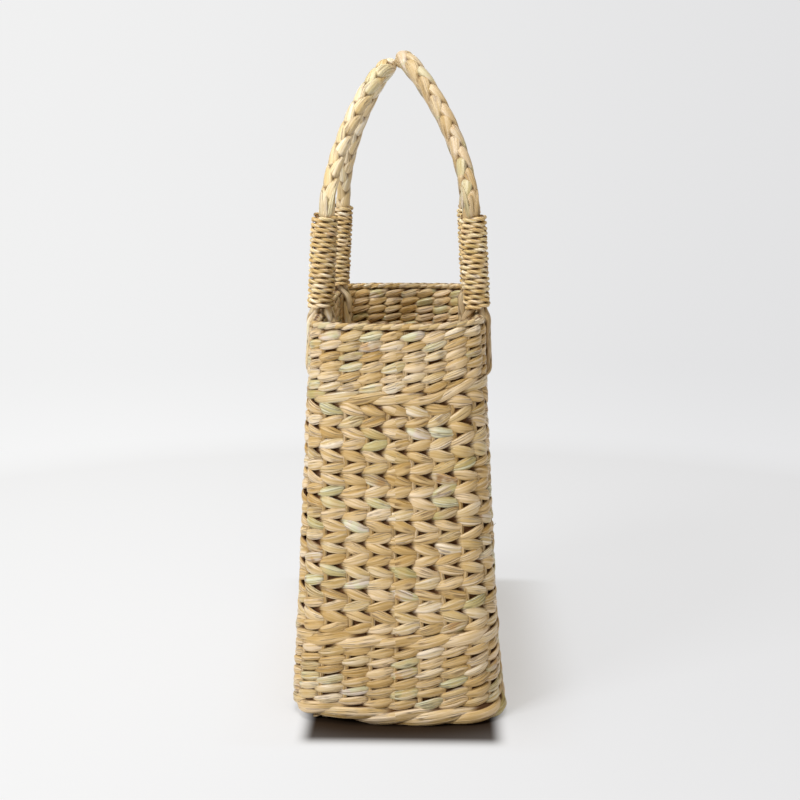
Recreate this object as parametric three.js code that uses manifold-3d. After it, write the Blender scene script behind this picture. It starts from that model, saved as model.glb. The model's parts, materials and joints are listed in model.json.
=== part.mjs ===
// Magazine basket, twined by hand from dried reed leaves: a tapered wall on a woven base, and two
// plaited handles. Each handle leg goes down inside the wall, through it above the upper rope and
// up again outside, and its two limbs are lashed together above the rim with twisted cord.
// Millimetres. +X runs across the ends, +Y along the sides and +Z up. The origin lies on the
// floor under the middle of the base.

import * as THREE from 'three';
import Module from 'manifold-3d';
import { mergeVertices } from 'three/addons/utils/BufferGeometryUtils.js';

const wasm = await Module();
wasm.setup();

// Plan of the wall, outside the weave
const rimWidth = 152;
const footWidth = 191;
const rimLength = 380;
const footLength = 394;
const rimCornerRadius = 30;
const footCornerRadius = 38;
const endBow = 4;
const flarePower = 1.15;

// Thickness of the wall and air between pieces that touch
const wallThickness = 10;
const rowRidge = 1.2;
const ropeBulge = 1;
const borderBulge = 0.5;
const seatGap = 0.3;

// Heights of the rows and ropes, from the floor up
const baseThickness = 8;
const footRopeHeight = 14;
const lowerRowHeight = 9.3;
const lowerRopeHeight = 11.5;
const middleRowHeight = 10.15;
const upperRopeHeight = 9.5;
const upperRowHeight = 8.8;
const borderHeight = 7;
const lowerRowCount = 6;
const middleRowCount = 20;
const upperRowCount = 6;

// Handles: where the legs stand, their lean, and the flattened limbs inside the lashing
const legSpacing = 220;
const legInset = 1;
const legLean = THREE.MathUtils.degToRad(3);
const limbThickness = 7.6;
const limbWidth = 13;
const limbBendRadius = 6;
const outerLimbDrop = 5;
const hingeRise = 2;

// Handles: the plait above the lashing. The arches are drawn in towards a narrow crown, and lean on
// each other a little to the left of the middle.
const plaitDiameter = 14;
const apexDiameter = 17.5;
const plaitSwellRun = 8;
const apexRise = 228;
const apexStep = 6.5;
const apexShift = 5.6;
const shoulderRise = 69;
const shoulderDraw = 56;
const crownReach = 34;
const crownSpread = 4.5;

// Tail of a leg, the free end that stands a little above the lashing
const tailRise = 2.6;
const tailStub = 4;
const tailTipShare = 0.7;

// Lashing of twisted cord round both limbs of a leg
const cordDiameter = 4;
const cordPitch = 4.5;
const cordTurns = 18;
const firstTurnRise = 3.6;
const sweepClearance = 0.4;

// Steps that the curved surfaces are cut into
const cornerSteps = 3;
const endSteps = 4;
const sideSteps = 2;
const ropeSides = 8;
const limbSides = 10;
const archSteps = 11;
const bendSteps = 3;
const cordSides = 5;
const turnSteps = 12;
const sweepSteps = 12;
const rowsPerInnerStep = 5;

// One weft row in section: height share of the row, then depth share of the ridge
const ridgeShares = [[0, 1], [0.28, 0], [0.72, 0]];

// Levels of the joints between the rings of the wall
const footRopeTop = footRopeHeight;
const lowerBandTop = footRopeTop + lowerRowCount * lowerRowHeight;
const lowerRopeTop = lowerBandTop + lowerRopeHeight;
const middleBandTop = lowerRopeTop + middleRowCount * middleRowHeight;
const upperRopeTop = middleBandTop + upperRopeHeight;
const upperBandTop = upperRopeTop + upperRowCount * upperRowHeight;
const rimTop = upperBandTop + borderHeight;

// Leg axis, and the lashed stretch along it
const legX = rimWidth / 2 - wallThickness / 2 - legInset;
const legY = legSpacing / 2;
const hingeLevel = rimTop + hingeRise;
const lashingTop = firstTurnRise + cordTurns * cordPitch + cordDiameter / 2;
const limbOffset = (limbThickness + seatGap) / 2;

const weaveColour = 0xd6bb88;
const ropeColour = 0xdcc393;
const plaitColour = 0xe6d2a6;
const cordColour = 0xbca56e;

function fibre(colour, roughness) {
  return new THREE.MeshStandardMaterial({ color: colour, roughness, metalness: 0 });
}

function addPiece(parent, name, geometry, material) {
  const mesh = new THREE.Mesh(geometry, material);
  mesh.name = name;
  parent.add(mesh);
  return mesh;
}

// Skin over rings of points. Each ring turns by the right hand about the way to the next ring.
function loft(rings, joinsItself) {
  const count = rings[0].length;
  const positions = rings.flat().flatMap((point) => point.toArray());
  const index = [];
  const bands = joinsItself ? rings.length : rings.length - 1;
  for (let band = 0; band < bands; band += 1) {
    const low = band * count;
    const high = ((band + 1) % rings.length) * count;
    for (let step = 0; step < count; step += 1) {
      const next = (step + 1) % count;
      index.push(low + step, low + next, high + next);
      index.push(low + step, high + next, high + step);
    }
  }
  if (!joinsItself) {
    const last = (rings.length - 1) * count;
    for (let step = 1; step < count - 1; step += 1) {
      index.push(0, step + 1, step);
      index.push(last, last + step, last + step + 1);
    }
  }
  const geometry = new THREE.BufferGeometry();
  geometry.setAttribute('position', new THREE.Float32BufferAttribute(positions, 3));
  geometry.setIndex(index);
  geometry.computeVertexNormals();
  return geometry;
}

// Oval sections square to a path. Each station has its centre, the way its first half size
// faces, and its two half sizes.
function sweepRings(stations, sides) {
  return stations.map((station, place) => {
    const before = stations[Math.max(place - 1, 0)].centre;
    const after = stations[Math.min(place + 1, stations.length - 1)].centre;
    const along = after.clone().sub(before).normalize();
    const across = station.facing.clone();
    across.addScaledVector(along, -across.dot(along)).normalize();
    const beside = along.clone().cross(across);
    const ring = [];
    for (let side = 0; side < sides; side += 1) {
      const angle = (side / sides) * 2 * Math.PI;
      const point = station.centre.clone();
      point.addScaledVector(across, station.halfAcross * Math.cos(angle));
      point.addScaledVector(beside, station.halfBeside * Math.sin(angle));
      ring.push(point);
    }
    return ring;
  });
}

function toSolid(geometry) {
  const bare = geometry.clone();
  bare.deleteAttribute('normal');
  bare.deleteAttribute('uv');
  const merged = mergeVertices(bare);
  const mesh = new wasm.Mesh({
    numProp: 3,
    vertProperties: Float32Array.from(merged.attributes.position.array),
    triVerts: Uint32Array.from(merged.index.array),
  });
  return new wasm.Manifold(mesh);
}

function toGeometry(solid) {
  const mesh = solid.getMesh();
  const geometry = new THREE.BufferGeometry();
  geometry.setAttribute('position', new THREE.BufferAttribute(mesh.vertProperties, 3));
  geometry.setIndex(new THREE.BufferAttribute(mesh.triVerts, 1));
  geometry.computeVertexNormals();
  return geometry;
}

// Wall

function flareAt(level) {
  return Math.max(0, 1 - level / rimTop) ** flarePower;
}

function outerHalfWidth(level) {
  return THREE.MathUtils.lerp(rimWidth, footWidth, flareAt(level)) / 2;
}

// Rounded rectangle with bowed ends, this far inside the wall's outer face at that level
function planOutline(level, inset) {
  const flare = flareAt(level);
  const halfWidth = outerHalfWidth(level) - inset;
  const halfLength = THREE.MathUtils.lerp(rimLength, footLength, flare) / 2 - inset;
  const radius = THREE.MathUtils.lerp(rimCornerRadius, footCornerRadius, flare) - inset;
  const corners = [[1, 1], [-1, 1], [-1, -1], [1, -1]].map(([signX, signY], quarter) => {
    const arc = [];
    for (let step = 0; step <= cornerSteps; step += 1) {
      const angle = (quarter + step / cornerSteps) * (Math.PI / 2);
      const x = signX * (halfWidth - radius) + radius * Math.cos(angle);
      const y = signY * (halfLength - radius) + radius * Math.sin(angle);
      arc.push(new THREE.Vector3(x, y, level));
    }
    return arc;
  });
  const points = [];
  corners.forEach((arc, quarter) => {
    points.push(...arc);
    const isEnd = quarter % 2 === 0;
    const steps = isEnd ? endSteps : sideSteps;
    const from = arc[cornerSteps];
    const to = corners[(quarter + 1) % corners.length][0];
    for (let step = 1; step < steps; step += 1) {
      const share = step / steps;
      const point = from.clone().lerp(to, share);
      const bow = isEnd ? endBow * 4 * share * (1 - share) : 0;
      point.y += Math.sign(from.y) * bow;
      points.push(point);
    }
  });
  return points;
}

// A section goes up the outside of the wall and down the inside, as levels and insets
function wallRing(section) {
  return loft(section.map(([level, inset]) => planOutline(level, inset)), true);
}

function ropeRing(low, high, bulge) {
  const middle = (low + high) / 2;
  const stretch = 1 / Math.cos(Math.PI / ropeSides);
  const halfHeight = ((high - low) / 2) * stretch;
  const halfThickness = (wallThickness / 2 + bulge) * stretch;
  const section = [];
  for (let side = 0; side < ropeSides; side += 1) {
    const angle = ((side + 0.5) / ropeSides) * 2 * Math.PI - Math.PI / 2;
    const inset = wallThickness / 2 - halfThickness * Math.cos(angle);
    section.push([middle + halfHeight * Math.sin(angle), inset]);
  }
  return wallRing(section);
}

function twinedBand(low, high, rowCount) {
  const rowHeight = (high - low) / rowCount;
  const section = [];
  for (let row = 0; row < rowCount; row += 1) {
    for (const [riseShare, depthShare] of ridgeShares) {
      section.push([low + (row + riseShare) * rowHeight, depthShare * rowRidge]);
    }
  }
  section.push([high, rowRidge]);
  const innerSteps = Math.ceil(rowCount / rowsPerInnerStep);
  for (let step = 0; step <= innerSteps; step += 1) {
    section.push([THREE.MathUtils.lerp(high, low, step / innerSteps), wallThickness]);
  }
  return wallRing(section);
}

function baseMat() {
  const inset = wallThickness + ropeBulge + seatGap;
  return loft([planOutline(0, inset), planOutline(baseThickness, inset)], false);
}

// Handles. The side frame has +X pointing out of the wall, and the leg frame stands on the hinge
// line with +X the same way and +Z up the leg.

function limbStation(centre) {
  return {
    centre,
    facing: new THREE.Vector3(0, 1, 0),
    halfAcross: limbWidth / 2,
    halfBeside: limbThickness / 2,
  };
}

function wallMiddle(level) {
  return outerHalfWidth(level) - wallThickness / 2;
}

const crossingLevel = upperRopeTop + seatGap + limbThickness / 2;
const wallLimbOffset = wallThickness / 2 + borderBulge + seatGap + limbThickness / 2;
const limbReach = furthestLimbPoint();
const cordFlat = (cordDiameter / 2) * Math.cos(Math.PI / cordSides);
const turnRadius = (limbReach + seatGap + cordFlat) / Math.cos(Math.PI / turnSteps);
const lashingReach = Math.hypot(turnRadius, firstTurnRise) + cordDiameter / 2;

// How far from the leg's axis the two flattened limbs reach
function furthestLimbPoint() {
  let furthest = 0;
  for (let side = 0; side < limbSides; side += 1) {
    const angle = (side / limbSides) * 2 * Math.PI;
    const across = (limbWidth / 2) * Math.cos(angle);
    const beside = limbOffset + (limbThickness / 2) * Math.sin(angle);
    furthest = Math.max(furthest, Math.hypot(across, beside));
  }
  return furthest;
}

// Quarter of a cylinder under the hinge line, outside the wall, that the lashing turns through
function lashingSweep(y) {
  const radius = (lashingReach + sweepClearance) / Math.cos(Math.PI / (4 * sweepSteps));
  const quarter = new THREE.Shape();
  quarter.moveTo(0, 0);
  quarter.lineTo(0, -radius);
  quarter.absarc(0, 0, radius, -Math.PI / 2, 0, false);
  const sweep = new THREE.ExtrudeGeometry(quarter, {
    depth: 2 * limbWidth,
    bevelEnabled: false,
    curveSegments: sweepSteps,
  });
  sweep.rotateX(Math.PI / 2);
  sweep.translate(legX, y + limbWidth, hingeLevel);
  return toSolid(sweep);
}

// The limb comes down inside the wall, crosses it on top of the upper rope and goes up outside
function wallLoop(y) {
  const bendTop = crossingLevel + limbBendRadius;
  const outerTop = rimTop - outerLimbDrop;
  const innerX = wallMiddle(rimTop) - wallLimbOffset;
  const outerX = wallMiddle(outerTop) + wallLimbOffset;
  const stations = [limbStation(new THREE.Vector3(innerX, y, rimTop))];
  for (const sign of [-1, 1]) {
    const bendX = wallMiddle(bendTop) + sign * (wallLimbOffset - limbBendRadius);
    for (let step = 0; step <= bendSteps; step += 1) {
      const share = sign < 0 ? step / bendSteps : 1 - step / bendSteps;
      const angle = share * (Math.PI / 2);
      const x = bendX + sign * limbBendRadius * Math.cos(angle);
      const z = bendTop - limbBendRadius * Math.sin(angle);
      stations.push(limbStation(new THREE.Vector3(x, y, z)));
    }
  }
  stations.push(limbStation(new THREE.Vector3(outerX, y, outerTop)));
  const loop = toSolid(loft(sweepRings(stations, limbSides), false));
  return toGeometry(loop.subtract(lashingSweep(y)));
}

// Opening at the foot of the upper band for a limb to cross the wall
function limbSlot(x, y) {
  const low = upperRopeTop;
  const high = crossingLevel + limbThickness / 2 + seatGap;
  const width = limbWidth + 2 * seatGap;
  const slot = new THREE.BoxGeometry(2 * wallThickness, width, high - low);
  slot.translate(x, y, (high + low) / 2);
  return toSolid(slot);
}

function upperBand() {
  let band = toSolid(twinedBand(upperRopeTop + seatGap, upperBandTop, upperRowCount));
  for (const signX of [-1, 1]) {
    for (const signY of [-1, 1]) {
      band = band.subtract(limbSlot(signX * wallMiddle(crossingLevel), signY * legY));
    }
  }
  return toGeometry(band);
}

function legPoint(x, y, z) {
  const point = new THREE.Vector3(x, 0, z);
  point.applyAxisAngle(new THREE.Vector3(0, 1, 0), -legLean);
  return point.add(new THREE.Vector3(legX, y, hingeLevel));
}

function plaitStation(centre, halfAcross, halfBeside) {
  return { centre, facing: new THREE.Vector3(1, 0, 0), halfAcross, halfBeside };
}

// Near leg, arch and far leg in one plait. Inside the lashing it is flattened against the tail.
function handlePlait(apexDrop, apexAside) {
  const plaitRadius = plaitDiameter / 2;
  const apexRadius = apexDiameter / 2;
  const innerFace = -limbOffset - limbThickness / 2;
  const tailTop = lashingTop + tailStub;
  const shoulder = legPoint(innerFace + plaitRadius, -legY, tailTop + plaitSwellRun);
  const rise = new THREE.Vector3(-Math.sin(legLean), 0, Math.cos(legLean));
  const shoulderPull = shoulder.clone().addScaledVector(rise, shoulderRise);
  shoulderPull.y += shoulderDraw;
  const apexX = apexRadius + seatGap + apexAside;
  const apex = new THREE.Vector3(apexX, 0, rimTop + apexRise - apexDrop);
  const apexPull = apex.clone();
  apexPull.x += crownSpread;
  apexPull.y -= crownReach;
  const arch = new THREE.CubicBezierCurve3(shoulder, shoulderPull, apexPull, apex);
  const foot = seatGap - hingeRise - innerFace * Math.sin(legLean);
  const stations = [foot, tailTop].map((level) => plaitStation(
    legPoint(-limbOffset, -legY, level),
    limbThickness / 2,
    limbWidth / 2,
  ));
  for (let step = 0; step <= archSteps; step += 1) {
    const share = step / archSteps;
    const radius = THREE.MathUtils.lerp(plaitRadius, apexRadius, share);
    stations.push(plaitStation(arch.getPoint(share), radius, radius));
  }
  const farHalf = stations.slice(0, -1).reverse().map((station) => {
    const centre = station.centre.clone();
    centre.y *= -1;
    return { ...station, centre };
  });
  return loft(sweepRings([...stations, ...farHalf], limbSides), false);
}

// Free end of the plait, flattened against the leg and cut off above the lashing
function legTail() {
  const levels = [[tailRise, 1], [lashingTop, 1], [lashingTop + tailStub, tailTipShare]];
  const stations = levels.map(([level, sizeShare]) => plaitStation(
    new THREE.Vector3(limbOffset, 0, level),
    (sizeShare * limbThickness) / 2,
    (sizeShare * limbWidth) / 2,
  ));
  return loft(sweepRings(stations, limbSides), false);
}

// One cord wound round both limbs, with a straight stretch of its own diameter at each end
function lashingRings() {
  const stations = [];
  const radius = cordDiameter / 2;
  const stepCount = cordTurns * turnSteps;
  for (let step = 0; step <= stepCount; step += 1) {
    const angle = (step / turnSteps) * 2 * Math.PI;
    const facing = new THREE.Vector3(Math.cos(angle), Math.sin(angle), 0);
    const centre = facing.clone().multiplyScalar(turnRadius);
    centre.z = firstTurnRise + (step / turnSteps) * cordPitch;
    stations.push({ centre, facing, halfAcross: radius, halfBeside: radius });
  }
  for (const [end, sign] of [[stations[0], -1], [stations[stepCount], 1]]) {
    const centre = end.centre.clone();
    centre.y += sign * cordDiameter;
    const straight = { ...end, centre };
    if (sign < 0) {
      stations.unshift(straight);
    } else {
      stations.push(straight);
    }
  }
  return sweepRings(stations, cordSides);
}

function leastTurnGap(rings) {
  let least = Infinity;
  rings.forEach((ring, place) => {
    for (const other of rings.slice(place + turnSteps - 1, place + turnSteps + 2)) {
      for (const point of ring) {
        for (const facingPoint of other) {
          least = Math.min(least, point.distanceTo(facingPoint));
        }
      }
    }
  });
  return least;
}

const basket = new THREE.Group();

addPiece(basket, 'base_mat', baseMat(), fibre(weaveColour, 0.85));
addPiece(basket, 'foot_rope', ropeRing(0, footRopeTop, ropeBulge), fibre(ropeColour, 0.8));
addPiece(
  basket,
  'lower_band',
  twinedBand(footRopeTop + seatGap, lowerBandTop, lowerRowCount),
  fibre(weaveColour, 0.8),
);
addPiece(
  basket,
  'lower_rope',
  ropeRing(lowerBandTop + seatGap, lowerRopeTop, ropeBulge),
  fibre(ropeColour, 0.8),
);
addPiece(
  basket,
  'middle_band',
  twinedBand(lowerRopeTop + seatGap, middleBandTop, middleRowCount),
  fibre(weaveColour, 0.8),
);
addPiece(
  basket,
  'upper_rope',
  ropeRing(middleBandTop + seatGap, upperRopeTop, ropeBulge),
  fibre(ropeColour, 0.8),
);
addPiece(basket, 'upper_band', upperBand(), fibre(weaveColour, 0.8));
addPiece(
  basket,
  'rim_border',
  ropeRing(upperBandTop + seatGap, rimTop, borderBulge),
  fibre(ropeColour, 0.75),
);

const lashing = lashingRings();
console.log(`least gap between the turns of a lashing: ${leastTurnGap(lashing).toFixed(2)} mm`);

for (const [side, halfTurns, apexAside] of [['right', 0, -apexShift], ['left', 1, apexShift]]) {
  const sideFrame = new THREE.Group();
  sideFrame.rotation.z = halfTurns * Math.PI;
  basket.add(sideFrame);
  const plait = handlePlait(halfTurns * apexStep, apexAside);
  addPiece(sideFrame, `handle_plait_${side}`, plait, fibre(plaitColour, 0.7));
  for (const sign of [-1, 1]) {
    const isNear = (sign < 0) === (halfTurns === 0);
    const place = `${side}_${isNear ? 'near' : 'far'}`;
    addPiece(sideFrame, `wall_loop_${place}`, wallLoop(sign * legY), fibre(plaitColour, 0.7));
    const leg = new THREE.Group();
    leg.position.set(legX, sign * legY, hingeLevel);
    leg.rotation.y = -legLean;
    sideFrame.add(leg);
    addPiece(leg, `leg_tail_${place}`, legTail(), fibre(plaitColour, 0.7));
    addPiece(leg, `lashing_${place}`, loft(lashing, false), fibre(cordColour, 0.75));
  }
}

export default basket;
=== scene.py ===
# %% [markdown]
# A magazine basket, twined by hand from dried reed leaves and seen end on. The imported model
# gives the true sizes of its rings, lashings and handles. This lesson covers that frame with
# leaf strands: every round of the wall, every rope and both plaits are made strand by strand,
# because the look of a basket is the light on its stitches and the dark between them.

# %% Load the frame
import json
import math

import bpy
import numpy as np
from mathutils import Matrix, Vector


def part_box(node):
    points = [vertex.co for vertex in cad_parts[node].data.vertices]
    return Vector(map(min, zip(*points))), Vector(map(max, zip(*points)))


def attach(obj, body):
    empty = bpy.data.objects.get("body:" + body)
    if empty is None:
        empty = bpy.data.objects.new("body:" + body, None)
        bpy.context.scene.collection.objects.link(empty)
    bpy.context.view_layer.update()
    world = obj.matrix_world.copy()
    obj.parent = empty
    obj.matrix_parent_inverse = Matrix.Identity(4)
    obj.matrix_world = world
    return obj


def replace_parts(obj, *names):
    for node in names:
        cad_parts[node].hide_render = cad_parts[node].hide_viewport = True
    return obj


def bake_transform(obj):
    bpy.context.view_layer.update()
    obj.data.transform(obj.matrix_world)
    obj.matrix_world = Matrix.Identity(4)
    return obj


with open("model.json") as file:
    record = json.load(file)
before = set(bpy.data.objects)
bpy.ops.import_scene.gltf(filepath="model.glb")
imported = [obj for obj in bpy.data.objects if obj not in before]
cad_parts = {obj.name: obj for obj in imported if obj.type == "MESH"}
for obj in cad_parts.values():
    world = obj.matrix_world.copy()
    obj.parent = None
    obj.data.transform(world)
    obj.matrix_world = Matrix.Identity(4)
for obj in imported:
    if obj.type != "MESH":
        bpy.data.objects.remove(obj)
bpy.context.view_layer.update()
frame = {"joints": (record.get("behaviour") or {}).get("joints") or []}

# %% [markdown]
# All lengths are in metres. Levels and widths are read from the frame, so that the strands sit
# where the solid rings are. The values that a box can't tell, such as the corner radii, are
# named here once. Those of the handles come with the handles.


def lowest(node):
    return np.array(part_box(node)[0])


def highest(node):
    return np.array(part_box(node)[1])


RIM_TOP = highest("rim_border")[2]
RIM_BULGE = 0.0005
FOOT_BULGE = 0.001
RIM_WIDTH = 2 * (highest("rim_border")[0] - RIM_BULGE)
FOOT_WIDTH = 2 * (highest("foot_rope")[0] - FOOT_BULGE)
END_BOW = 0.004
RIM_LENGTH = 2 * (highest("rim_border")[1] - RIM_BULGE - END_BOW)
FOOT_LENGTH = 2 * (highest("foot_rope")[1] - FOOT_BULGE - END_BOW)
RIM_CORNER = 0.030
FOOT_CORNER = 0.038
FLARE_POWER = 1.15
WALL = 0.010
print(f"rim {RIM_WIDTH:.3f} by {RIM_LENGTH:.3f}, foot {FOOT_WIDTH:.3f} by {FOOT_LENGTH:.3f}")

# %% [markdown]
# The camera stands some 1.2 metres before the near end, higher than the rim, and looks slightly
# down. A fairly long lens keeps the sides of the basket nearly parallel, as in a shop photo.

# %% Camera
CAMERA_PLACE = (0.0385, -1.430, 0.500)
CAMERA_DOWN = math.radians(9.7)
CAMERA_LEFT = math.radians(1.62)
CAMERA_LENS = 66.6


def placed(name, data):
    """A new object in the scene."""
    thing = bpy.data.objects.new(name, data)
    bpy.context.scene.collection.objects.link(thing)
    return thing


camera = placed("camera", bpy.data.cameras.new("camera"))
camera.location = CAMERA_PLACE
camera.rotation_euler = (math.pi / 2 - CAMERA_DOWN, 0, CAMERA_LEFT)
camera.data.lens = CAMERA_LENS
camera.data.sensor_width = 36
bpy.context.scene.camera = camera
bpy.context.scene.view_settings.view_transform = "Standard"
print(f"camera {-CAMERA_PLACE[1] - RIM_LENGTH / 2:.2f} m before the rim, {CAMERA_LENS} mm lens")

# %% [markdown]
# The wall is twined round 56 upright stakes. A place in the wall is told in three numbers: u
# counts the stakes from the middle of the near end, level is the height above the floor, and
# out is how far it stands off the middle of the wall. One function turns these into a point
# and the way that the wall faces there, for whole arrays at once. An end takes up END_HALF
# stakes from its middle to the middle of its corner, and the long side takes up the rest.

# %% Places in the wall
STAKES = 56
QUARTER = STAKES / 4
END_HALF = 3.75


def flare(level):
    return np.maximum(0, 1 - level / RIM_TOP) ** FLARE_POWER


def between(start, end, share):
    return start + (end - start) * share


def smooth(share):
    share = np.clip(share, 0, 1)
    return share * share * (3 - 2 * share)


def wall_place(u, level, out):
    """Points of the wall, and the level directions in which it faces there."""
    u, level, out = np.broadcast_arrays(u, level, out)
    spread = flare(level)
    half_width = between(RIM_WIDTH, FOOT_WIDTH, spread) / 2 - WALL / 2
    half_length = between(RIM_LENGTH, FOOT_LENGTH, spread) / 2 - WALL / 2
    radius = between(RIM_CORNER, FOOT_CORNER, spread) - WALL / 2
    straight_end = half_width - radius
    straight_side = half_length - radius
    half_arc = radius * math.pi / 4
    turned = np.mod(u, STAKES)
    from_end = QUARTER - np.abs(np.mod(turned, 2 * QUARTER) - QUARTER)
    along_end = from_end / END_HALF * (straight_end + half_arc)
    along_side = (from_end - END_HALF) / (QUARTER - END_HALF) * (straight_side + half_arc)
    on_end = from_end <= END_HALF
    angle = np.where(
        on_end, (along_end - straight_end) / radius, math.pi / 4 + along_side / radius
    )
    angle = np.clip(angle, 0, math.pi / 2)
    x = straight_end + radius * np.sin(angle)
    y = straight_side + radius * np.cos(angle)
    x = np.where(on_end & (along_end < straight_end), along_end, x)
    bow = END_BOW * (1 - np.minimum(x / straight_end, 1) ** 2)
    y = np.where(on_end, y + bow, y)
    past = along_side - half_arc
    y = np.where(~on_end & (past > 0), straight_side - past, y)
    sign_x = np.where(turned < 2 * QUARTER, 1.0, -1.0)
    sign_y = np.where((turned < QUARTER) | (turned >= 3 * QUARTER), -1.0, 1.0)
    facing = np.stack([sign_x * np.sin(angle), sign_y * np.cos(angle), 0 * x], axis=-1)
    point = np.stack([sign_x * x, sign_y * y, level], axis=-1)
    return point + facing * out[..., None], facing


MEASURED_LEVEL = 0.2
once_round = wall_place(np.linspace(0, STAKES, 400), MEASURED_LEVEL, 0)[0]
perimeter = np.linalg.norm(np.diff(once_round, axis=0), axis=1).sum()
print(f"one round is {perimeter:.3f} m, {1000 * perimeter / STAKES:.1f} mm a stake")

# %% [markdown]
# A strand is a tube along a path, oval in section, with a few lengthwise wrinkles where the
# leaf was folded as it dried. A curve with a bevel makes a tube too, but no oval that turns
# with the wall and gets fuller and thinner from stitch to stitch. So the sections are worked
# out here, for a whole path at once.

# %% Sections of a strand
WIDE_STRAND = 14
THIN_STRAND = 8
WRINKLE_WIDTH = 0.30
WRINKLE_SWAY = (0.3, 0.9)
WRINKLE_PACE = (0.05, 0.16)
WRINKLE_STRENGTH = (0.4, 1.0)


def section_angles(around):
    """Angles of the points of a section. The first lies at the side, where a seam is hidden."""
    return (np.arange(around) / around - 0.25) * 2 * math.pi


def squared(values, power=0.82):
    """Sines or cosines bent so that an oval gets the fuller shape of a pressed leaf."""
    return np.sign(values) * np.abs(values) ** power


def unit(vectors):
    return vectors / np.maximum(np.linalg.norm(vectors, axis=-1, keepdims=True), 1e-12)


def wrinkles(length, rng, depth, count):
    """Factors for each point of each section, a little under 1 along a few wandering lines."""
    steps = np.arange(length)
    angles = section_angles(WIDE_STRAND)
    factor = np.ones((length, WIDE_STRAND))
    for _ in range(count):
        start = rng.uniform(0, 2 * math.pi)
        sway = rng.uniform(*WRINKLE_SWAY)
        pace = rng.uniform(*WRINKLE_PACE)
        line = start + sway * np.sin(steps * pace + rng.uniform(0, 6))
        away = angles[None, :] - line[:, None]
        away = np.abs((away + math.pi) % (2 * math.pi) - math.pi)
        strength = rng.uniform(*WRINKLE_STRENGTH)
        factor -= strength * depth * np.exp(-((away / WRINKLE_WIDTH) ** 2))
    return factor


def tube_rings(path, outward, half_out, half_side, looped=False, creases=1.0, around=WIDE_STRAND):
    """Sections square to a path. half_out is their half size along outward."""
    half_out, half_side = (np.broadcast_to(half, len(path)) for half in (half_out, half_side))
    if looped:
        along = np.roll(path, -1, axis=0) - np.roll(path, 1, axis=0)
    else:
        along = np.gradient(path, axis=0)
    along = unit(along)
    facing = unit(outward - (outward * along).sum(1, keepdims=True) * along)
    beside = np.cross(facing, along)
    angles = section_angles(around)[None, :]
    cosine = squared(np.cos(angles)) * creases
    sine = squared(np.sin(angles)) * creases
    return (
        path[:, None, :]
        + facing[:, None, :] * (half_out[:, None] * cosine)[..., None]
        + beside[:, None, :] * (half_side[:, None] * sine)[..., None]
    )


# %% [markdown]
# Meshes of this size are slow to make point by point, so the strands of a piece are gathered
# in a skein, and its mesh is written in one go. Besides its faces a strand carries three
# colour values for the material: tone and shade change from stitch to stitch, and hollow
# marks the places between stitches and the edges that turn away, where shade is painted into
# the colour. Its texture runs in metres along the strand and GIRTH wide around it. Every strand
# starts elsewhere in the texture, so that no two show the same lines.

# %% Skeins
GIRTH = 0.030
NEXT_ALONG = 1.37
NEXT_AROUND = 0.05


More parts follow.
